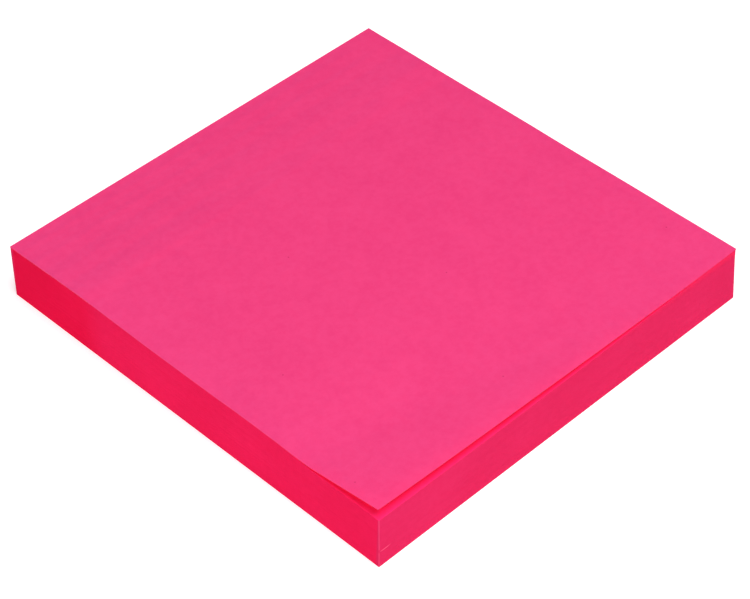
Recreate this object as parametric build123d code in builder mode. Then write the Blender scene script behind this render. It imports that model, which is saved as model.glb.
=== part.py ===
"""A pad of square adhesive notes whose top sheet has lifted along its free edge.

All lengths are millimetres and all angles are degrees. +Z is up and the origin is on the surface that the
pad rests on, under the middle of the pad. The adhesive holds the sheets at the +Y edge, and the -Y edge is
free. The top sheet lies on the stack, bends up across a slanting line and runs on as a straight slope, which
is highest at the corner between the -X side and the free edge.
"""
from build123d import *
from math import atan, cos, degrees, radians, sin
import os

# The paper.
sheet_side = 76.0
sheet_thickness = 0.09
sheets_in_stack = 99

# The adhesive: a film on the back of every sheet, along the edge that is glued. Pressed between two sheets
# it sinks into the paper, so that it thickens the stack by much less than its own thickness.
adhesive_width = 18.0
adhesive_thickness = 0.02
pressed_gain_per_sheet = 0.004

# How far the top of the stack lies to the side of its underside.
lean_x = -0.17
lean_y = 0.31

# The lifted part of the top sheet. The two distances are measured on the flat sheet, from its free edge to
# the line where it starts to bend up, along the -X side and along the +X side.
lift_start_minus_x = 19.4
lift_start_plus_x = 8.8
bend_radius = 25.0
slope_angle = 6.8

# The stack stands between its flat underside and a top face that rises towards the glued edge.
half_side = sheet_side / 2
free_edge_height = sheets_in_stack * sheet_thickness
glued_edge_height = free_edge_height + sheets_in_stack * pressed_gain_per_sheet
middle_height = (free_edge_height + glued_edge_height) / 2
wedge_angle = degrees(atan((glued_edge_height - free_edge_height) / sheet_side))
stack_lean = Vector(lean_x, lean_y, middle_height)
underside_centre = Vector(-lean_x / 2, -lean_y / 2)
top_face = Plane(underside_centre + stack_lean).rotated((wedge_angle, 0, 0))

with BuildPart() as sheet_stack:
    with BuildSketch(Plane(underside_centre)):
        Rectangle(sheet_side, sheet_side)
    extrude(amount=2 * stack_lean.length, dir=stack_lean.normalized())
    split(bisect_by=top_face, keep=Keep.BOTTOM)

with BuildPart() as adhesive_strip:
    with BuildSketch(top_face):
        with Locations((0, half_side - adhesive_width / 2)):
            Rectangle(sheet_side, adhesive_width)
    extrude(amount=adhesive_thickness)

# The top sheet, in the plane of its own underside. The bend line runs from one side of the sheet to the
# other, and the bent part reaches away from it, square to that line.
sheet_plane = top_face.offset(adhesive_thickness)
bend_start_minus_x = Vector(-half_side, lift_start_minus_x - half_side)
bend_start_plus_x = Vector(half_side, lift_start_plus_x - half_side)
bend_line = (bend_start_plus_x - bend_start_minus_x).normalized()
towards_free_edge = Vector(bend_line.Y, -bend_line.X)
bend_length = bend_radius * radians(slope_angle)


def bent_corner(flat_corner, bend_start):
    """Where a free corner of the flat sheet comes to lie, seen square to the stack's top face."""
    past_start = (flat_corner - bend_start).dot(towards_free_edge)
    round_bend = min(past_start, bend_length)
    up_slope = past_start - round_bend
    reach = bend_radius * sin(round_bend / bend_radius) + up_slope * cos(radians(slope_angle))
    return flat_corner - towards_free_edge * (past_start - reach)


sheet_outline = (
    Vector(-half_side, half_side),
    bend_start_minus_x,
    bent_corner(Vector(-half_side, -half_side), bend_start_minus_x),
    bent_corner(Vector(half_side, -half_side), bend_start_plus_x),
    bend_start_plus_x,
    Vector(half_side, half_side),
)
section_plane = Plane(
    origin=sheet_plane.from_local_coords((bend_start_minus_x + bend_start_plus_x) / 2),
    x_dir=sheet_plane.from_local_coords(towards_free_edge) - sheet_plane.origin,
    z_dir=sheet_plane.origin - sheet_plane.from_local_coords(bend_line),
)
past_outline = 2 * sheet_side

with BuildPart() as top_sheet:
    with BuildSketch(section_plane):
        with BuildLine():
            flat = Line((-past_outline, 0), (0, 0))
            bend = JernArc(flat @ 1, flat % 1, radius=bend_radius, arc_size=slope_angle)
            Line(bend @ 1, bend @ 1 + (bend % 1) * past_outline)
            offset(amount=sheet_thickness, side=Side.LEFT)
        make_face()
    extrude(amount=past_outline, both=True)
    with BuildSketch(sheet_plane):
        Polygon(*sheet_outline, align=None)
    extrude(amount=past_outline, both=True, mode=Mode.INTERSECT)

sheet_stack.part.label = "sheet_stack"
adhesive_strip.part.label = "adhesive_strip"
top_sheet.part.label = "top_sheet"

os.makedirs("parts", exist_ok=True)
export_step(sheet_stack.part, "parts/sheet_stack.step")
export_step(adhesive_strip.part, "parts/adhesive_strip.step")
export_step(top_sheet.part, "parts/top_sheet.step")
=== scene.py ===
import random
from collections import namedtuple
from math import cos, pi, radians, sin

import bmesh
import bpy
from mathutils import Matrix, Vector, noise


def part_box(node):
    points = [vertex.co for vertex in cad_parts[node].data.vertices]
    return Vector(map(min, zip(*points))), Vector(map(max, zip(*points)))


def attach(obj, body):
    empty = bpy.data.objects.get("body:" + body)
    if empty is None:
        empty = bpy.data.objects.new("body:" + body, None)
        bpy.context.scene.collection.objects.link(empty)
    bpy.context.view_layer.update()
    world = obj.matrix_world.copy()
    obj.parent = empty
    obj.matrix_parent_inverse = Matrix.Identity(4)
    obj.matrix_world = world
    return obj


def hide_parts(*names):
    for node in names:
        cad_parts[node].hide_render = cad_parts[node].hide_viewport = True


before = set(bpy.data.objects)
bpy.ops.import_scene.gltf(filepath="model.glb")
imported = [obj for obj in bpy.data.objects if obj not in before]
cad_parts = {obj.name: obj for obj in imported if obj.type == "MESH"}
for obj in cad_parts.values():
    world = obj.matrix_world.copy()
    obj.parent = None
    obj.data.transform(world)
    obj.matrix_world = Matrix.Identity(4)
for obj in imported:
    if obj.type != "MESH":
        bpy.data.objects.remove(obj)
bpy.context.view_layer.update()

bl_info = {
    "name": "Sticky Note Pad",
    "version": (1, 0, 0),
    "blender": (4, 5, 0),
    "location": "View3D > Sidebar > Note Pad",
    "description": "Builds a pad of bright adhesive notes with a lifted top sheet, around a fixed CAD frame",
    "category": "Object",
}

MM = 0.001
SHEETS_SEED = 11


# --------------------------------------------------------------------------------------------- settings


def length(name, description, millimetres):
    """A length that a user can change, shown in the scene's units."""
    return bpy.props.FloatProperty(
        name=name, description=description, default=millimetres * MM,
        precision=6, unit="LENGTH", subtype="DISTANCE")


def angle(name, description, degrees):
    """An angle that a user can change, shown in degrees."""
    return bpy.props.FloatProperty(
        name=name, description=description, default=radians(degrees), unit="ROTATION", subtype="ANGLE")


def colour(name, description, value):
    """A colour that a user can change."""
    return bpy.props.FloatVectorProperty(
        name=name, description=description, default=value, size=3, min=0, max=1, subtype="COLOR")


def number(name, description, value):
    """A plain factor that a user can change."""
    return bpy.props.FloatProperty(name=name, description=description, default=value, subtype="FACTOR")


def power(name, description, watts):
    """A lamp's power that a user can change."""
    return bpy.props.FloatProperty(name=name, description=description, default=watts, unit="POWER")


def count(name, description, value, least):
    """A whole number that a user can change."""
    return bpy.props.IntProperty(name=name, description=description, default=value, min=least)


class StackSettings(bpy.types.PropertyGroup):
    """The glued stack of sheets under the top one."""
    sheets: count("Sheets", "Sheets in the stack under the top one", 99, 1)
    loose_sheets: count("Loose Sheets", "Upper sheets that part from one another towards one corner", 12, 1)
    looseness: length("Looseness", "How much the loose sheets add to the height of that corner", 0.77)
    outline_steps: count("Outline Steps", "Steps along each side, closer together at the corners", 44, 4)
    corner_radius: length("Corner Radius", "Roundness of the four upright corners", 0.1)
    groove_depth: length("Groove Depth", "How far the edge is cut back between two sheets", 0.012)
    groove_height: length("Groove Height", "Height of the slope from the groove to the edge", 0.014)
    unevenness: length("Unevenness", "How far one sheet's edge may stand out past the next", 0.005)
    waviness: length("Waviness", "Slow in and out of the cut along a side", 0.02)
    wave_length: length("Wave Length", "Length of one slow in and out of the cut", 9)
    adhesive_width: length("Adhesive Width", "Width of the glued strip along the +Y edge", 18)
    drop_start: length("Drop Start", "From the glued edge to where the stack starts to drop off", 56)
    drop_end: length("Drop End", "From the glued edge to where the stack has dropped off", 64)
    free_rise: length("Free Rise", "Height of the -X end of the free edge above the flat slope", 0.05)
    nick_height: length("Nick Height", "Height of the frayed edge beside the front corner", 2.93)
    nick_length: length("Nick Length", "Length of the frayed edge", 2.3)
    nick_depth: length("Nick Depth", "How far the frayed edge stands out", 0.07)


class LiftSettings(bpy.types.PropertyGroup):
    """The bent part of the top sheet. Distances are measured on the flat sheet."""
    thickness: length("Thickness", "Thickness of the paper", 0.09)
    steps: count("Steps", "Steps across the sheet each way", 95, 8)
    start_on_side: length("Start on Side", "From the lifted corner to the bend, along the -X side", 15.2)
    start_on_edge: length("Start on Edge", "From the lifted corner to the bend, along the free edge", 70)
    bend_radius: length("Bend Radius", "Radius of the bend", 20)
    slope: angle("Slope", "Slope of the straight stretch past the bend", 6.7)
    corner_curl: length("Corner Curl", "Extra rise at the corner that is lifted", 0.25)
    curl_reach: length("Curl Reach", "How far the extra rise reaches from that corner", 24)
    edge_slant: length("Edge Slant", "How much further in the free edge lies at its lifted end", 0.14)


class PaperSettings(bpy.types.PropertyGroup):
    """Colours and surface of the paper."""
    face: colour("Face", "Colour of the paper's face on the stack", (0.99, 0.0255, 0.170))
    sheet: colour("Sheet", "Colour of one sheet's face, without the light that it lets through",
                  (0.918, 0.0872, 0.348))
    through: colour("Light Through", "Colour of the light that one sheet lets through", (0.99, 0.0045, 0.066))
    # Painted light: an even red glow on the stack's paper that brightens the shaded gap under the lifted
    # sheet.
    painted_glow_strength: number("Painted Glow", "Red light that the dye gives off inside the stack", 0.015)
    clearness: number("Clearness", "Share of the light that one sheet lets through", 0.42)
    side_edge: colour("Side Edge", "Colour of the cut edges on the -X and +X sides", (0.855, 0.0100, 0.0885))
    # Partly painted sheen: the free and glued ends take a paler, less deep colour, partly for their different
    # cut and partly for the whitish veil of light where the key light meets the free edge.
    end_edge_sheen: colour("Free Edge", "Colour of the cut edges on the free edge and the glued edge",
                      (0.745, 0.0195, 0.1085))
    # Painted shade: the cut edges over the glued strip take a darker, deeper colour.
    glued_end_shade: colour("Glued Edge", "Colour of the cut edges where the sheets are glued",
                       (0.825, 0.0030, 0.058))
    # Painted light: a brighter red for the cut edges of the parted sheets, standing for the light that they
    # let through.
    loose_edge_light: colour("Loose Edge", "Colour of the cut edges of the parted sheets, which let light through",
                       (0.90, 0.0205, 0.112))
    # Painted highlight: a paler colour on the corners' burred fibres, the frayed edge and the top sheet's cut
    # edge.
    pale_highlight: colour("Pale Edge", "Colour of worn fibres at the corners", (0.95, 0.115, 0.26))
    adhesive: colour("Adhesive", "Colour of the adhesive film over the paper", (0.96, 0.045, 0.20))
    fleck: colour("Fleck", "Colour of the few dark fibres in the paper", (0.50, 0.030, 0.12))
    # Painted light: the colour of that even red glow.
    painted_glow_colour: colour("Glow", "Colour of the light that the dye gives off", (1.0, 0.0, 0.05))
    floor: colour("Floor", "Colour of the studio floor", (0.84, 0.84, 0.84))
    floor_glow: number("Floor Glow", "Light that comes up through the white floor", 0.46)


class StudioSettings(bpy.types.PropertyGroup):
    """Camera and light."""
    azimuth: angle("Azimuth", "Camera's direction round the pad, negative from -Y towards -X", -46.785)
    elevation: angle("Elevation", "Camera's height above the horizon", 43.052)
    roll: angle("Roll", "Camera's turn about its own axis", 1.548)
    distance: length("Distance", "From the camera to the point that it looks at", 393.088)
    look_at: bpy.props.FloatVectorProperty(
        name="Look At", description="Point that the camera looks at",
        default=(-4.115 * MM, -4.125 * MM, 4.7 * MM), unit="LENGTH", subtype="TRANSLATION")
    lens: bpy.props.FloatProperty(
        name="Focal Length", description="Focal length on a 36 mm wide sensor",
        default=127.873, unit="CAMERA")
    ambient: number("Ambient", "Strength of the even light from all around", 0.30)
    key_power: power("Key Power", "Power of the large soft light over the free edge", 2.2)
    key_size: length("Key Size", "Side of that light", 350)
    key_distance: length("Key Distance", "From that light to the point that the camera looks at", 500)
    key_azimuth: angle("Key Azimuth", "Direction of that light round the pad", -5)
    key_elevation: angle("Key Elevation", "Height of that light above the horizon", 72)
    fill_power: power("Fill Power", "Power of the soft light on the -X side", 0.18)
    fill_size: length("Fill Size", "Side of that light", 220)
    fill_distance: length("Fill Distance", "From that light to the point that the camera looks at", 330)
    fill_azimuth: angle("Fill Azimuth", "Direction of that light round the pad", -62)
    fill_elevation: angle("Fill Elevation", "Height of that light above the horizon", 22)


SETTINGS = {
    "pad_stack": StackSettings,
    "pad_lift": LiftSettings,
    "pad_paper": PaperSettings,
    "pad_studio": StudioSettings,
}


# ------------------------------------------------------------------------------------------- pad's shape


# How far the loose sheets stand above the glued stack's flat slope, as (distance from the glued edge, rise).
RISE_ON_SIDE = ((0, 0), (2, 0.04), (6, 0.17), (10.5, 0.33), (15, 0.43), (19, 0.41), (24, 0.33), (30, 0.26),
                (36, 0.29), (40, 0.31), (44, 0.36), (48, 0.46), (52, 0.49), (56, 0.44), (60, 0.30),
                (64, 0.19), (76, 0.15))
RISE_ON_FAR_SIDE = ((0, 0.03), (12, 0.17), (38, 0.49), (62, 0.75), (76, 0.90))

# How far each corner stands off the CAD model's square, underneath and on top, by its direction. In
# millimetres.
OUT_OF_SQUARE = {
    (-1, 1): ((-0.04, -0.02), (0.06, 0.03)),
    (1, 1): ((0.10, 0.00), (-0.14, 0.13)),
    (-1, -1): ((-0.22, -0.04), (0.04, 0.02)),
    (1, -1): ((0.38, -0.13), (0.00, 0.03)),
}

# Dark fibres in the face of the top sheet, in millimetres from the middle of the sheet.
FLECKS = ((-10.5, 7.6), (3.6, -11.1), (-28.3, -9.5), (-36.1, -31.4), (-6.4, -31.4), (34.3, -27.4))

# How far over from the middle to the +X side the free edge goes on slanting, as a share of half the side.
SLANT_END = 0.3

# Where one sheet's edge begins and ends, as shares of the way from one groove to the next.
EDGE_LEVELS = {"low edge": 0.15, "high edge": 0.85, "groove": 1}

# How much deeper a groove is for the air under its sheet, as a share of that air.
AIR_SHARE = 0.2

# The frayed edge: how far above and below it fades, and where along its length it grows and dies away.
NICK_FADE = (0.03 * MM, 0.12 * MM)
NICK_START = (0.05, 0.2)
NICK_END = (0.75, 1.05)
# How strong the painted highlight on the frayed edge is.
NICK_HIGHLIGHT = 0.8

# Painted highlights on the corners' burred fibres: how far the outline has turned where they start and are
# full, and the break in them beside the frayed edge.
CORNER_TURN = (0.05, 0.4)
CORNER_HIGHLIGHT = 0.5
HIGHLIGHT_BREAK_OVER_NICK = 0.12 * MM
HIGHLIGHT_BREAK_FADE = (0.2 * MM, 0.35 * MM)
HIGHLIGHT_BREAK_SHARE = 0.8
# How strong the painted highlight along the top sheet's cut edge is.
SHEET_RIM_HIGHLIGHT = 0.4

# From the glued part's top: where the painted light through the parted sheets starts and is full.
LOOSE_GLOW = (-0.8 * MM, 0.6 * MM)

# Places closer together than this are the same.
TINY = 0.0005 * MM

# A place on the stack's outline: where it is, which way is outwards there, and how far round it lies.
Post = namedtuple("Post", "place direction travelled")


def smooth(value, low, high):
    """0 below low, 1 above high, and an even curve between them."""
    t = min(max((value - low) / (high - low), 0), 1)
    return t * t * (3 - 2 * t)


def read_curve(points, distance):
    """The height of a curve through these points, in millimetres, at a distance in metres."""
    at = distance / MM
    for (x0, y0), (x1, y1) in zip(points, points[1:]):
        if at <= x1:
            return (y0 + (y1 - y0) * smooth(at, x0, x1)) * MM
    return points[-1][1] * MM


class PadShape:
    """Where the stack's top and the lifted sheet lie, over points of the flat outline."""

    def __init__(self, scene):
        self.stack = scene.pad_stack
        self.lift = scene.pad_lift
        corners = {tuple(v.co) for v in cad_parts["sheet_stack"].data.vertices}
        corners = [Vector(c) for c in corners]
        middle = sum(c.z for c in corners) / len(corners)
        low = [c for c in corners if c.z < middle]
        high = [c for c in corners if c.z >= middle]
        self.half = (max(c.x for c in low) - min(c.x for c in low)) / 2
        self.free_height = min(c.z for c in high)
        self.glued_height = max(c.z for c in high)
        self.lean = sum(high, Vector()) / len(high) - sum(low, Vector()) / len(low)
        self.lean.z = 0
        film_low, film_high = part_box("adhesive_strip")
        self.film = (film_high.z - film_low.z) - self.rise_over(film_high.y - film_low.y)
        start = Vector((-self.half, self.lift.start_on_side - self.half))
        end = Vector((self.lift.start_on_edge - self.half, -self.half))
        along = (end - start).normalized()
        self.bend_start = start
        self.away = Vector((along.y, -along.x))

    def rise_over(self, distance):
        """How much the stack's flat slope rises over this distance towards the glued edge."""
        return (self.glued_height - self.free_height) * distance / (2 * self.half)

    def across(self, x):
        """0 on the -X side and 1 on the +X side."""
        return (x + self.half) / (2 * self.half)

    def resting_height(self, x, y):
        """Height at which the top sheet would lie if it did not bend up."""
        distance = self.half - y
        near = read_curve(RISE_ON_SIDE, distance)
        far = read_curve(RISE_ON_FAR_SIDE, distance)
        share = self.across(x)
        return self.free_height + self.rise_over(y + self.half) + near * (1 - share) + far * share

    def parting(self, x, y):
        """How much of the stack's height is air between its loose sheets."""
        return self.stack.looseness * self.across(x) ** 3 * (self.half - y) / (2 * self.half)

    def stack_height(self, x, y):
        """Height of the stack's top, which drops off towards the free edge except at its +X end."""
        stack = self.stack
        resting = self.resting_height(x, y)
        free = self.free_height + self.rise_over(y + self.half) + stack.free_rise + self.parting(x, y)
        return resting - max(resting - free, 0) * smooth(self.half - y, stack.drop_start, stack.drop_end)

    def sheet_top(self, x, y, share):
        """Height of the upper face of the sheet at this share of the stack, with the air under it."""
        air = self.parting(x, y)
        first_loose = 1 - self.stack.loose_sheets / self.stack.sheets
        opened = max(share - first_loose, 0) / (1 - first_loose)
        return share * (self.stack_height(x, y) - air) + air * opened ** 1.5

    def leaned(self, x, y, share):
        """A point of the square outline, moved over to where it lies at this share of the stack's height."""
        point = Vector((x, y, 0)) + self.lean * (share - 0.5)
        for (side_x, side_y), (bottom, top) in OUT_OF_SQUARE.items():
            nearness = (1 + side_x * x / self.half) * (1 + side_y * y / self.half) / 4
            shift = Vector(bottom).lerp(Vector(top), share) * MM
            point += shift.to_3d() * nearness
        return point

    def past_bend(self, x, y):
        """Distance of a point of the flat sheet past the line where the bend starts."""
        return (Vector((x, y)) - self.bend_start).dot(self.away)

    def sheet_point(self, x, y):
        """Where a point of the flat top sheet comes to lie, on its underside."""
        lift = self.lift
        distance = max(self.past_bend(x, y), 0)
        round_bend = min(distance, lift.bend_radius * lift.slope)
        up_slope = distance - round_bend
        turn = round_bend / lift.bend_radius
        reach = lift.bend_radius * sin(turn) + up_slope * cos(lift.slope)
        rise = lift.bend_radius * (1 - cos(turn)) + up_slope * sin(lift.slope)
        corner_distance = (x + self.half) + (y + self.half)
        rise += lift.corner_curl * max(1 - corner_distance / lift.curl_reach, 0) ** 2
        plan = Vector((x, y)) - self.away * (distance - reach)
        point = self.leaned(plan.x, plan.y, 1)
        point.y -= lift.edge_slant * min(x / self.half, SLANT_END) * (self.half - y) / (2 * self.half)
        point.z = self.resting_height(x, y) + self.film + rise
        return point


# --------------------------------------------------------------------------------------------- mesh tools


def finish_piece(bm, name, materials, node):
    """Makes an object from a bmesh, gives it its materials and puts it in a CAD node's place."""
    mesh = bpy.data.meshes.new(name)
    bm.to_mesh(mesh)
    bm.free()
    for material in materials:
        mesh.materials.append(material)
    piece = bpy.data.objects.new(name, mesh)
    bpy.context.scene.collection.objects.link(piece)
    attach(piece, "root")
    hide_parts(node)
    return piece


def crowded(position, half):
    """Moves an evenly spaced position towards the nearer end, so that the ends have shorter steps."""
    evenly = 0.15
    return half * (evenly * position / half + (1 - evenly) * sin(position / half * pi / 2))


def outline_ring(bm):
    """The vertices on the open edge of a flat mesh, in order."""
    first = next(v for v in bm.verts if v.is_boundary)
    ring, before = [first], None
    while True:
        here = ring[-1]
        onward = [e.other_vert(here) for e in here.link_edges if e.is_boundary]
        step = next(v for v in onward if v is not before)
        if step is first:
            return ring
        before = here
        ring.append(step)


def outward(point, half, radius):
    """The outward direction of a rounded square's outline at one of its points."""
    inner = half - radius
    centre = Vector((min(max(point.x, -inner), inner), min(max(point.y, -inner), inner), 0))
    return (Vector((point.x, point.y, 0)) - centre).normalized()


# -------------------------------------------------------------------------------------------- node groups


def new_group(name, inputs, outputs):
    """An empty shader node group with named sockets, and its input and output nodes."""
    group = bpy.data.node_groups.new(name, "ShaderNodeTree")
    kinds = {"value": "NodeSocketFloat", "vector": "NodeSocketVector"}
    for label, kind, default in inputs:
        socket = group.interface.new_socket(label, in_out="INPUT", socket_type=kinds[kind])
        if default is not None:
            socket.default_value = default
    for label, kind in outputs:
        group.interface.new_socket(label, in_out="OUTPUT", socket_type=kinds[kind])
    return group, group.nodes.new("NodeGroupInput"), group.nodes.new("NodeGroupOutput")


def add_node(tree, kind, **settings):
    """A node of this kind with its properties set."""
    node = tree.nodes.new(kind)
    for key, value in settings.items():
        setattr(node, key, value)
    return node


def link(tree, source, target):
    """Joins an output socket to an input socket, or sets a plain value on it."""
    if isinstance(source, bpy.types.NodeSocket):
        tree.links.new(source, target)
    else:
        target.default_value = source


def math_node(tree, operation, first, second=0.0):
    """The result of a Math node."""
    node = add_node(tree, "ShaderNodeMath", operation=operation)
    link(tree, first, node.inputs[0])
    link(tree, second, node.inputs[1])
    return node.outputs[0]


def ramp_between(tree, value, low, high, to_low=0.0, to_high=1.0):
    """A Map Range node that goes smoothly from to_low at low to to_high at high, and stays there."""
    node = add_node(tree, "ShaderNodeMapRange", interpolation_type="SMOOTHSTEP")
    for name, setting in zip(("Value", "From Min", "From Max", "To Min", "To Max"),
                             (value, low, high, to_low, to_high)):
        link(tree, setting, node.inputs[name])
    return node.outputs["Result"]


def mix_colours(tree, factor, first, second, blend="MIX"):
    """A colour mixed from two."""
    node = add_node(tree, "ShaderNodeMix", data_type="RGBA", blend_type=blend, clamp_factor=True)
    link(tree, factor, node.inputs["Factor"])
    link(tree, first, node.inputs[6])
    link(tree, second, node.inputs[7])
    return node.outputs[2]


def noise_value(tree, vector, scale, detail, roughness=0.5):
    """The value of a Noise texture."""
    node = add_node(tree, "ShaderNodeTexNoise", noise_dimensions="3D", normalize=True)
    link(tree, vector, node.inputs["Vector"])
    link(tree, scale, node.inputs["Scale"])
    link(tree, detail, node.inputs["Detail"])
    link(tree, roughness, node.inputs["Roughness"])
    return node.outputs["Fac"]


def split_vector(tree, vector):
    """The outputs of a node that takes a vector apart."""
    node = add_node(tree, "ShaderNodeSeparateXYZ")
    link(tree, vector, node.inputs[0])
    return node.outputs


def flat_vector(tree, x, y):
    """A vector with these two parts, and 0 for the third."""
    node = add_node(tree, "ShaderNodeCombineXYZ")
    link(tree, x, node.inputs["X"])
    link(tree, y, node.inputs["Y"])
    return node.outputs[0]


def paper_grain_group():
    """Fibres and cloudy formation of a sheet of paper, from its coordinates in metres."""
    group, given, result = new_group(
        "Paper Grain",
        [("Vector", "vector", None), ("Fibre Scale", "value", 2500.0), ("Mottle Scale", "value", 900.0),
         ("Cloud Scale", "value", 150.0)],
        [("Fibres", "value"), ("Mottle", "value"), ("Clouds", "value"), ("Height", "value")])
    vector = given.outputs["Vector"]
    fibres = noise_value(group, vector, given.outputs["Fibre Scale"], 3.0, 0.65)
    mottle = noise_value(group, vector, given.outputs["Mottle Scale"], 2.0, 0.6)
    clouds = noise_value(group, vector, given.outputs["Cloud Scale"], 2.0, 0.5)
    height = math_node(group, "ADD", fibres, math_node(group, "MULTIPLY", mottle, 0.6))
    for name, socket in (("Fibres", fibres), ("Mottle", mottle), ("Clouds", clouds), ("Height", height)):
        link(group, socket, result.inputs[name])
    return group


def flecks_group():
    """A few small dark fibres at fixed places of the top sheet."""
    group, given, result = new_group(
        "Paper Flecks", [("Vector", "vector", None), ("Size", "value", 0.16 * MM)], [("Flecks", "value")])
    split = split_vector(group, given.outputs["Vector"])
    flat = flat_vector(group, split["X"], split["Y"])
    nearest = None
    for x, y in FLECKS:
        distance = add_node(group, "ShaderNodeVectorMath", operation="DISTANCE")
        link(group, flat, distance.inputs[0])
        link(group, (x * MM, y * MM, 0), distance.inputs[1])
        value = distance.outputs["Value"]
        nearest = value if nearest is None else math_node(group, "MINIMUM", nearest, value)
    dark_core = math_node(group, "MULTIPLY", given.outputs["Size"], 0.4)
    flecks = ramp_between(group, nearest, dark_core, given.outputs["Size"], 1.0, 0.0)
    link(group, flecks, result.inputs["Flecks"])
    return group


def sheet_edges_group():
    """Streaks of cut sheets, from a map with the distance along the outline and the sheet's number."""
    group, given, result = new_group(
        "Sheet Edges",
        [("Map", "vector", None), ("Streaks Along", "value", 0.35), ("Sheets Apart", "value", 7.31),
         ("Bands Along", "value", 0.05), ("Bands Up", "value", 0.09)],
        [("Streaks", "value"), ("Bands", "value")])
    split = split_vector(group, given.outputs["Map"])
    along = math_node(group, "MULTIPLY", split["X"], given.outputs["Streaks Along"])
    whole_sheet = math_node(group, "FLOOR", split["Y"])
    apart = math_node(group, "MULTIPLY", whole_sheet, given.outputs["Sheets Apart"])
    streaks = noise_value(group, flat_vector(group, along, apart), 1.0, 3.0, 0.6)
    wide_along = math_node(group, "MULTIPLY", split["X"], given.outputs["Bands Along"])
    wide_up = math_node(group, "MULTIPLY", split["Y"], given.outputs["Bands Up"])
    bands = noise_value(group, flat_vector(group, wide_along, wide_up), 1.0, 3.0, 0.5)
    link(group, streaks, result.inputs["Streaks"])
    link(group, bands, result.inputs["Bands"])
    return group


def grouped(tree, group, **inputs):
    """A node that stands for a group, with its inputs set or linked."""
    node = add_node(tree, "ShaderNodeGroup", node_tree=group)
    for name, value in inputs.items():
        link(tree, value, node.inputs[name.replace("_", " ")])
    return node


def group_named(name, maker):
    """The shared node group of this name, made once."""
    return bpy.data.node_groups.get(name) or maker()


# ---------------------------------------------------------------------------------------------- materials


# How much red, green and blue vary, next to one another, where pink paper is thicker or thinner.
MOTTLE_SHARES = (0.15, 1.0, 0.5)

# How high the paper's grain stands, and how much the paper shines.
PAPER_RELIEF = 0.02 * MM
PAPER_GLOSS = 0.05
SHEET_GLOSS = 0.15


def new_material(name):
    """An empty material, its node tree and its Principled shader."""
    material = bpy.data.materials.new(name)
    material.use_nodes = True
    tree = material.node_tree
    tree.nodes.clear()
    shader = add_node(tree, "ShaderNodeBsdfPrincipled")
    output = add_node(tree, "ShaderNodeOutputMaterial")
    link(tree, shader.outputs["BSDF"], output.inputs["Surface"])
    return material, tree, shader


def node_of(tree, kind):
    """The one node of this kind in a node tree."""
    return next(n for n in tree.nodes if n.type == kind)


def object_coordinates(tree):
    """Coordinates that stay fixed on the piece."""
    return add_node(tree, "ShaderNodeTexCoord").outputs["Object"]


def mottled(tree, base, mask, strength):
    """A colour varied by a mask centred on a half."""
    grey = add_node(tree, "ShaderNodeCombineColor")
    for socket, share in zip(grey.inputs[:3], MOTTLE_SHARES):
        link(tree, ramp_between(tree, mask, 0.25, 0.75, 1 - share * strength, 1 + share * strength), socket)
    return mix_colours(tree, 1.0, base, grey.outputs[0], "MULTIPLY")


def roughened(tree, shader, mask, smoothest, roughest):
    """Varies a shader's roughness by a mask centred on a half."""
    link(tree, ramp_between(tree, mask, 0.3, 0.7, smoothest, roughest), shader.inputs["Roughness"])


def bumped(tree, shader, height, strength):
    """Gives a shader relief as fine as paper's."""
    bump = add_node(tree, "ShaderNodeBump")
    bump.inputs["Strength"].default_value = strength
    bump.inputs["Distance"].default_value = PAPER_RELIEF
    link(tree, height, bump.inputs["Height"])
    link(tree, bump.outputs["Normal"], shader.inputs["Normal"])


def paper_face_material(name, paper, face, gloss=PAPER_GLOSS):
    """Uncoated paper: soft fibres, faint clouds where the pulp is thicker, a few dark flecks."""
    material, tree, shader = new_material(name)
    coordinates = object_coordinates(tree)
    grain = grouped(tree, group_named("Paper Grain", paper_grain_group), Vector=coordinates)
    flecks = grouped(tree, group_named("Paper Flecks", flecks_group), Vector=coordinates)
    base = (*face, 1)
    for mask, contrast in (("Clouds", 0.04), ("Mottle", 0.08), ("Fibres", 0.04)):
        base = mottled(tree, base, grain.outputs[mask], contrast)
    fleck_cover = math_node(tree, "MULTIPLY", flecks.outputs["Flecks"], 0.7)
    base = mix_colours(tree, fleck_cover, base, (*paper.fleck, 1))
    link(tree, base, shader.inputs["Base Color"])
    roughened(tree, shader, grain.outputs["Fibres"], 0.80, 0.92)
    shader.inputs["Specular IOR Level"].default_value = gloss
    bumped(tree, shader, grain.outputs["Height"], 0.25)
    return material


def stack_face_material(name, paper):
    """The same paper inside the stack, with a painted red glow that brightens the shaded gap under the lifted
    sheet.
    """
    material = paper_face_material(name, paper, paper.face)
    shader = node_of(material.node_tree, "BSDF_PRINCIPLED")
    # Painted light: the red glow that brightens the gap under the lifted sheet.
    shader.inputs["Emission Color"].default_value = (*paper.painted_glow_colour, 1)
    shader.inputs["Emission Strength"].default_value = paper.painted_glow_strength
    return material


def top_sheet_material(name, paper):
    """The same paper as a single sheet, which lets some light through."""
    material = paper_face_material(name, paper, paper.sheet, SHEET_GLOSS)
    tree = material.node_tree
    through = add_node(tree, "ShaderNodeBsdfTranslucent")
    through.inputs["Color"].default_value = (*paper.through, 1)
    both = add_node(tree, "ShaderNodeMixShader")
    both.inputs[0].default_value = paper.clearness
    link(tree, node_of(tree, "BSDF_PRINCIPLED").outputs[0], both.inputs[1])
    link(tree, through.outputs[0], both.inputs[2])
    link(tree, both.outputs[0], node_of(tree, "OUTPUT_MATERIAL").inputs["Surface"])
    return material


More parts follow.
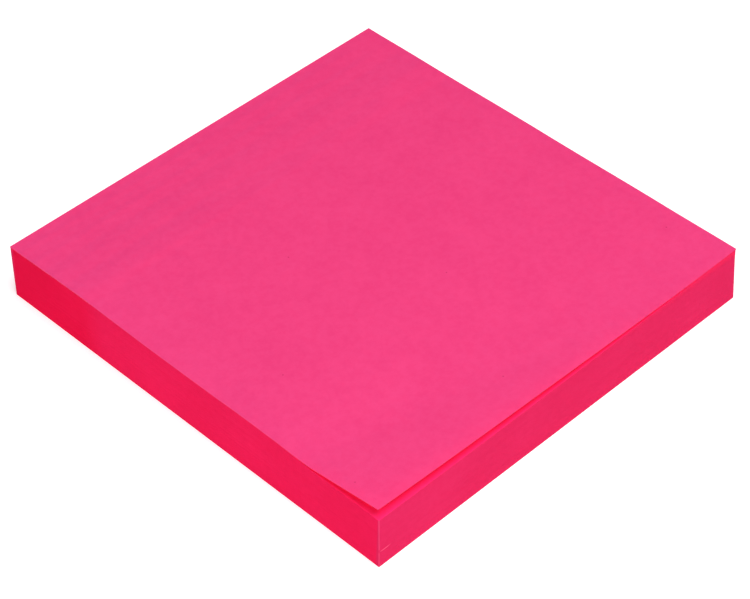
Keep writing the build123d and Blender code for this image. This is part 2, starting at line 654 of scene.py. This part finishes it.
def cut_edge_material(name, paper, shape):
    """Cut edges of the sheets: faint streaks, and a colour deepened by painted shade where adhesive holds the
    sheets.
    """
    material, tree, shader = new_material(name)
    coordinates = object_coordinates(tree)
    grain = grouped(tree, group_named("Paper Grain", paper_grain_group), Vector=coordinates)
    outline = add_node(tree, "ShaderNodeUVMap", uv_map="edge_map")
    edges = grouped(tree, group_named("Sheet Edges", sheet_edges_group), Map=outline.outputs["UV"])
    across = split_vector(tree, coordinates)["Y"]
    glue_line = shape.half - shape.stack.adhesive_width
    blur = 3 * MM
    glued = ramp_between(tree, across, glue_line - blur, glue_line + blur)
    side_end, end_start = shape.half - 0.6 * MM, shape.half - 0.2 * MM
    ends = ramp_between(tree, math_node(tree, "ABSOLUTE", across), side_end, end_start)
    # Painted shade: a darker, deeper colour over the glued strip.
    base = mix_colours(tree, glued, (*paper.side_edge, 1), (*paper.glued_end_shade, 1))
    # Partly painted sheen: the paler colour on the free and glued ends.
    base = mix_colours(tree, ends, base, (*paper.end_edge_sheen, 1))
    for mask, contrast in ((edges.outputs["Streaks"], 0.03), (edges.outputs["Bands"], 0.04),
                           (grain.outputs["Mottle"], 0.06)):
        base = mottled(tree, base, mask, contrast)
    # Painted light through the parted sheets, then a painted highlight on the burred fibres.
    for layer, tone in (("loose", paper.loose_edge_light), ("highlit", paper.pale_highlight)):
        share = add_node(tree, "ShaderNodeAttribute", attribute_name=layer).outputs["Fac"]
        base = mix_colours(tree, share, base, (*tone, 1))
    link(tree, base, shader.inputs["Base Color"])
    roughened(tree, shader, edges.outputs["Streaks"], 0.85, 0.97)
    shader.inputs["Specular IOR Level"].default_value = PAPER_GLOSS
    bumped(tree, shader, grain.outputs["Height"], 0.3)
    return material


def adhesive_material(name, paper):
    """Clear low-tack adhesive over pink paper, with the paper's grain showing through it."""
    material, tree, shader = new_material(name)
    grain = grouped(tree, group_named("Paper Grain", paper_grain_group), Vector=object_coordinates(tree))
    base = mottled(tree, (*paper.adhesive, 1), grain.outputs["Mottle"], 0.08)
    link(tree, base, shader.inputs["Base Color"])
    roughened(tree, shader, grain.outputs["Fibres"], 0.35, 0.55)
    bumped(tree, shader, grain.outputs["Fibres"], 0.5)
    return material


def floor_material(name, paper):
    """Plain white floor, lit a little from below."""
    material, tree, shader = new_material(name)
    patches = noise_value(tree, object_coordinates(tree), 6.0, 2.0)
    link(tree, mottled(tree, (*paper.floor, 1), patches, 0.005), shader.inputs["Base Color"])
    shader.inputs["Roughness"].default_value = 0.9
    shader.inputs["Specular IOR Level"].default_value = 0.1
    shader.inputs["Emission Color"].default_value = (1, 1, 1, 1)
    shader.inputs["Emission Strength"].default_value = paper.floor_glow
    return material


def material_named(name, maker, *details):
    """The shared material of this name, made once."""
    return bpy.data.materials.get(name) or maker(name, *details)


# ------------------------------------------------------------------------------------------------- pieces


class NOTEPAD_OT_sheet_stack(bpy.types.Operator):
    """Build the glued stack, with the cut edge of every sheet"""
    bl_idname = "notepad.sheet_stack"
    bl_label = "Add Sheet Stack"

    def execute(self, context):
        shape = PadShape(context.scene)
        settings = shape.stack
        half, radius = shape.half, settings.corner_radius
        bm = bmesh.new()
        post_layer = bm.verts.layers.int.new("post")
        level_layer = bm.verts.layers.float.new("level")
        highlight_layer = bm.verts.layers.float.new("highlit")
        # Painted light through the parted sheets.
        loose_light_layer = bm.verts.layers.float.new("loose")
        steps = settings.outline_steps
        bmesh.ops.create_grid(bm, x_segments=steps, y_segments=steps, size=half)
        for v in bm.verts:
            v.co = Vector((crowded(v.co.x, half), crowded(v.co.y, half), 0))
        corners = [v for v in bm.verts if len(v.link_edges) == 2]
        bmesh.ops.bevel(bm, geom=corners, offset=radius, offset_type="OFFSET", segments=3,
                        profile=0.5, affect="VERTICES", material=-1)
        posts = self.mark_posts(bm, post_layer, half, radius)
        top = bmesh.ops.duplicate(bm, geom=bm.faces[:])
        copied = {g for g in top["geom"] if isinstance(g, bmesh.types.BMVert)}
        rim = [e for e in bm.edges if e.is_boundary and e.verts[0] not in copied]
        bottom_faces = [f for f in bm.faces if f.verts[0] not in copied]
        bmesh.ops.reverse_faces(bm, faces=bottom_faces)
        for v in bm.verts:
            share = 1.0 if v in copied else 0.0
            v[level_layer] = share * settings.sheets
            if v.is_boundary:
                post = posts[v[post_layer] - 1]
                height = shape.sheet_top(post.place.x, post.place.y, share)
                v.co = self.edge_point(shape, post, share, height, settings.groove_depth)
            else:
                spot = shape.leaned(v.co.x, v.co.y, share)
                spot.z = shape.sheet_top(v.co.x, v.co.y, share)
                v.co = spot
        self.raise_sheets(bm, rim, shape, posts, (post_layer, level_layer, highlight_layer, loose_light_layer))
        bmesh.ops.remove_doubles(bm, verts=bm.verts, dist=TINY)
        bmesh.ops.recalc_face_normals(bm, faces=bm.faces)
        self.finish_faces(bm, posts, post_layer, level_layer)
        paper = context.scene.pad_paper
        face = material_named("Pink Paper Face", stack_face_material, paper)
        cut = material_named("Pink Paper Cut Edge", cut_edge_material, paper, shape)
        finish_piece(bm, "pad_sheet_stack", (face, cut), "sheet_stack")
        return {"FINISHED"}

    def mark_posts(self, bm, post_layer, half, radius):
        """Numbers the outline's vertices from 1 and returns a post for each."""
        posts, travelled, before = [], 0.0, None
        for v in outline_ring(bm):
            travelled += (v.co - before).length if before is not None else 0.0
            posts.append(Post(v.co.copy(), outward(v.co, half, radius), travelled))
            v[post_layer] = len(posts)
            before = v.co
        return posts

    def edge_point(self, shape, post, share, height, inset):
        """A point on the stack's side over one place of its outline."""
        inner = post.place - post.direction * inset
        point = shape.leaned(inner.x, inner.y, share)
        point.z = height
        return point

    def nick(self, shape, place, height):
        """How much the frayed edge shows at this place of the outline, from 0 to 1."""
        stack = shape.stack
        if place.y > -shape.half + stack.corner_radius:
            return 0.0
        along = (place.x + shape.half) / stack.nick_length
        near = 1 - smooth(abs(height - stack.nick_height), *NICK_FADE)
        return near * smooth(along, *NICK_START) * (1 - smooth(along, *NICK_END))

    def wear(self, shape, post, height):
        """How strong the painted highlight on the burred fibres is at this place of the outline, from 0 to 1.
        """
        corner = smooth(min(abs(post.direction.x), abs(post.direction.y)), *CORNER_TURN)
        highlight_break = 1 - smooth(abs(height - shape.stack.nick_height - HIGHLIGHT_BREAK_OVER_NICK), *HIGHLIGHT_BREAK_FADE)
        highlit_corner = corner * (1 - HIGHLIGHT_BREAK_SHARE * highlight_break) * CORNER_HIGHLIGHT
        return max(highlit_corner, self.nick(shape, post.place, height) * NICK_HIGHLIGHT)

    def looseness(self, shape, post, height):
        """How much painted light through the parted sheets shows at this place of the outline, from 0 to 1.
        """
        x, y, _ = post.place
        glued_top = shape.stack_height(x, y) - shape.parting(x, y)
        return smooth(height - glued_top, *LOOSE_GLOW) * shape.across(x) ** 2

    def raise_sheets(self, bm, rim, shape, posts, layers):
        """Extrudes the outline upwards: from groove to edge, up the edge, and back into the next groove."""
        post_layer, level_layer, highlight_layer, loose_light_layer = layers
        settings = shape.stack
        draw = random.Random(SHEETS_SEED)
        tops = [0.0] * len(posts)
        papers = [(shape.sheet_top(x, y, 1) - shape.parting(x, y)) / settings.sheets
                  for (x, y, _), _, _ in posts]
        for sheet in range(settings.sheets):
            share = (sheet + 1) / settings.sheets
            stand_out = draw.uniform(-1, 1) * settings.unevenness
            drift = Vector((draw.uniform(-1, 1), draw.uniform(-1, 1), 0)) * settings.unevenness
            last = sheet == settings.sheets - 1
            upper = [shape.sheet_top(x, y, share) for (x, y, _), _, _ in posts]
            for step, level in EDGE_LEVELS.items():
                made = bmesh.ops.extrude_edge_only(bm, edges=rim)["geom"]
                rim = [g for g in made if isinstance(g, bmesh.types.BMEdge) and g.is_boundary]
                fresh = {g for g in made if isinstance(g, bmesh.types.BMVert)}
                rim = [e for e in rim if all(v in fresh for v in e.verts)]
                for v in fresh:
                    index = v[post_layer] - 1
                    post, top, paper = posts[index], upper[index], papers[index]
                    if step == "groove":
                        height = top
                        air = 0 if last else max(top - tops[index] - paper, 0)
                        inset = settings.groove_depth + AIR_SHARE * air
                    else:
                        below_top = settings.groove_height
                        if step == "low edge":
                            below_top = paper - settings.groove_height
                        height = top - below_top
                        spot = Vector((post.place.x, post.place.y, top)) / settings.wave_length
                        wave = noise.noise(spot) * settings.waviness
                        inset = -stand_out - drift.dot(post.direction) - wave
                        inset -= self.nick(shape, post.place, height) * settings.nick_depth
                    v.co = self.edge_point(shape, post, share * height / top, height, inset)
                    v[level_layer] = sheet + level
                    v[highlight_layer] = self.wear(shape, post, height)
                    v[loose_light_layer] = self.looseness(shape, post, height)
            tops = upper

    def finish_faces(self, bm, posts, post_layer, level_layer):
        """Maps the edges by distance and sheet, and keeps each sheet's edge crisp."""
        around = posts[-1].travelled
        same_level = 1e-4
        edge_map = bm.loops.layers.uv.new("edge_map")
        for face in bm.faces:
            face.smooth = True
            levels = [v[level_layer] for v in face.verts]
            if max(levels) - min(levels) < same_level:
                continue
            face.material_index = 1
            distances = [posts[v[post_layer] - 1].travelled for v in face.verts]
            wraps = max(distances) - min(distances) > around / 2
            for corner, distance, level in zip(face.loops, distances, levels):
                distance += around if wraps and distance < around / 2 else 0
                corner[edge_map].uv = (distance / MM, level)
        for edge in bm.edges:
            a, b = edge.verts
            upright = abs(a[level_layer] - b[level_layer]) > same_level
            edge.smooth = upright or not (a[post_layer] and b[post_layer])


class NOTEPAD_OT_adhesive_strip(bpy.types.Operator):
    """Build the film of adhesive under the top sheet"""
    bl_idname = "notepad.adhesive_strip"
    bl_label = "Add Adhesive Strip"

    def execute(self, context):
        shape = PadShape(context.scene)
        width = shape.stack.adhesive_width
        ripple, ripple_length = 0.15 * MM, 4 * MM
        bm = bmesh.new()
        bmesh.ops.create_grid(bm, x_segments=60, y_segments=16, size=shape.half)
        for v in bm.verts:
            v.co.y = shape.half - width * (0.5 - v.co.y / (2 * shape.half))
            if v.co.y < shape.half - width + TINY:
                v.co.y += noise.noise(v.co / ripple_length) * ripple
        flat = bm.faces[:]
        made = bmesh.ops.extrude_face_region(bm, geom=flat)["geom"]
        raised = {g for g in made if isinstance(g, bmesh.types.BMVert)}
        for v in bm.verts:
            x, y = v.co.x, v.co.y
            v.co = shape.leaned(x, y, 1)
            v.co.z = shape.resting_height(x, y) + (shape.film if v in raised else 0)
        bmesh.ops.recalc_face_normals(bm, faces=bm.faces)
        film = material_named("Adhesive Film", adhesive_material, context.scene.pad_paper)
        finish_piece(bm, "pad_adhesive_strip", (film,), "adhesive_strip")
        return {"FINISHED"}


class NOTEPAD_OT_top_sheet(bpy.types.Operator):
    """Build the top sheet, lying on the stack and bent up towards its free edge"""
    bl_idname = "notepad.top_sheet"
    bl_label = "Add Top Sheet"

    def execute(self, context):
        shape = PadShape(context.scene)
        lift = shape.lift
        bm = bmesh.new()
        edge_map = bm.loops.layers.uv.new("edge_map")
        highlight_layer = bm.verts.layers.float.new("highlit")
        bmesh.ops.create_grid(bm, x_segments=lift.steps, y_segments=lift.steps, size=shape.half)
        made = bmesh.ops.extrude_face_region(bm, geom=bm.faces[:])["geom"]
        raised = {g for g in made if isinstance(g, bmesh.types.BMVert)}
        rims = [f for f in bm.faces if len({v in raised for v in f.verts}) == 2]
        for f in bm.faces:
            f.smooth = True
        for f in rims:
            f.material_index = 1
            on_side = abs(f.calc_center_median().x) > shape.half - TINY
            for corner in f.loops:
                v = corner.vert
                along = v.co.y if on_side else v.co.x
                corner[edge_map].uv = (along / MM, shape.stack.sheets + (v in raised))
            for edge in f.edges:
                if (edge.verts[0] in raised) == (edge.verts[1] in raised):
                    edge.smooth = False
        for v in bm.verts:
            # Painted highlight along the cut edge of the top sheet.
            v[highlight_layer] = SHEET_RIM_HIGHLIGHT
            up = lift.thickness if v in raised else 0.0
            v.co = shape.sheet_point(v.co.x, v.co.y) + Vector((0, 0, up))
        bmesh.ops.recalc_face_normals(bm, faces=bm.faces)
        paper = context.scene.pad_paper
        face = material_named("Pink Paper Sheet", top_sheet_material, paper)
        cut = material_named("Pink Paper Cut Edge", cut_edge_material, paper, shape)
        sheet = finish_piece(bm, "pad_top_sheet", (face, cut), "top_sheet")
        return {"FINISHED"}


# ------------------------------------------------------------------------------------------------- studio


def soft_light(name, watts, size, direction, distance, target):
    """A square soft light that faces a target."""
    data = bpy.data.lights.new(name, "AREA")
    data.energy = watts
    data.size = size
    light = bpy.data.objects.new(name, data)
    light.location = target + direction * distance
    light.rotation_euler = direction.to_track_quat("Z", "Y").to_euler()
    bpy.context.scene.collection.objects.link(light)


def view_direction(azimuth, elevation):
    """From the pad towards a camera or a light at these angles."""
    return Vector((sin(azimuth) * cos(elevation), -cos(azimuth) * cos(elevation), sin(elevation)))


class NOTEPAD_OT_studio(bpy.types.Operator):
    """Set up the floor, the soft light and the camera"""
    bl_idname = "notepad.studio"
    bl_label = "Add Studio"

    def execute(self, context):
        scene = context.scene
        studio = scene.pad_studio
        self.add_floor(scene)
        self.add_lights(scene, studio)
        self.add_camera(scene, studio)
        scene.view_settings.view_transform = "Standard"
        scene.cycles.max_bounces = 24
        scene.cycles.diffuse_bounces = 16
        return {"FINISHED"}

    def add_floor(self, scene):
        bm = bmesh.new()
        just_under = Matrix.Translation((0, 0, -0.02 * MM))
        bmesh.ops.create_grid(bm, x_segments=8, y_segments=8, size=1.5, matrix=just_under)
        mesh = bpy.data.meshes.new("studio_floor")
        bm.to_mesh(mesh)
        bm.free()
        mesh.materials.append(material_named("Studio Floor", floor_material, scene.pad_paper))
        floor = bpy.data.objects.new("studio_floor", mesh)
        scene.collection.objects.link(floor)

    def add_lights(self, scene, studio):
        world = bpy.data.worlds.new("Studio Light")
        world.use_nodes = True
        background = world.node_tree.nodes["Background"]
        background.inputs["Color"].default_value = (1, 1, 1, 1)
        background.inputs["Strength"].default_value = studio.ambient
        scene.world = world
        centre = Vector(studio.look_at)
        soft_light("key_light", studio.key_power, studio.key_size,
                   view_direction(studio.key_azimuth, studio.key_elevation), studio.key_distance, centre)
        soft_light("fill_light", studio.fill_power, studio.fill_size,
                   view_direction(studio.fill_azimuth, studio.fill_elevation), studio.fill_distance, centre)

    def add_camera(self, scene, studio):
        data = bpy.data.cameras.new("camera")
        data.sensor_width = 36
        data.lens = studio.lens
        data.clip_start = 0.01
        camera = bpy.data.objects.new("camera", data)
        scene.collection.objects.link(camera)
        back = view_direction(studio.azimuth, studio.elevation)
        turn = (-back).to_track_quat("-Z", "Y").to_matrix() @ Matrix.Rotation(studio.roll, 3, "Z")
        camera.matrix_world = Matrix.LocRotScale(
            Vector(studio.look_at) + back * studio.distance, turn.to_quaternion(), None)
        scene.camera = camera


OPERATORS = (NOTEPAD_OT_sheet_stack, NOTEPAD_OT_adhesive_strip, NOTEPAD_OT_top_sheet, NOTEPAD_OT_studio)


class VIEW3D_PT_note_pad(bpy.types.Panel):
    """Lists the pieces of the pad and their settings"""
    bl_label = "Note Pad"
    bl_space_type = "VIEW_3D"
    bl_region_type = "UI"
    bl_category = "Note Pad"

    def draw(self, context):
        for operator in OPERATORS:
            self.layout.operator(operator.bl_idname)
        for name, group in SETTINGS.items():
            box = self.layout.box()
            box.label(text=group.__doc__.split(".")[0])
            for setting in group.__annotations__:
                box.prop(getattr(context.scene, name), setting)


def register():
    for cls in (*SETTINGS.values(), *OPERATORS, VIEW3D_PT_note_pad):
        bpy.utils.register_class(cls)
    for name, group in SETTINGS.items():
        setattr(bpy.types.Scene, name, bpy.props.PointerProperty(type=group))


def unregister():
    for name in SETTINGS:
        delattr(bpy.types.Scene, name)
    for cls in reversed((*SETTINGS.values(), *OPERATORS, VIEW3D_PT_note_pad)):
        bpy.utils.unregister_class(cls)


def main():
    """Builds the pad and the studio."""
    register()
    bpy.ops.notepad.sheet_stack()
    bpy.ops.notepad.adhesive_strip()
    bpy.ops.notepad.top_sheet()
    bpy.ops.notepad.studio()


if __name__ == "__main__":
    main()
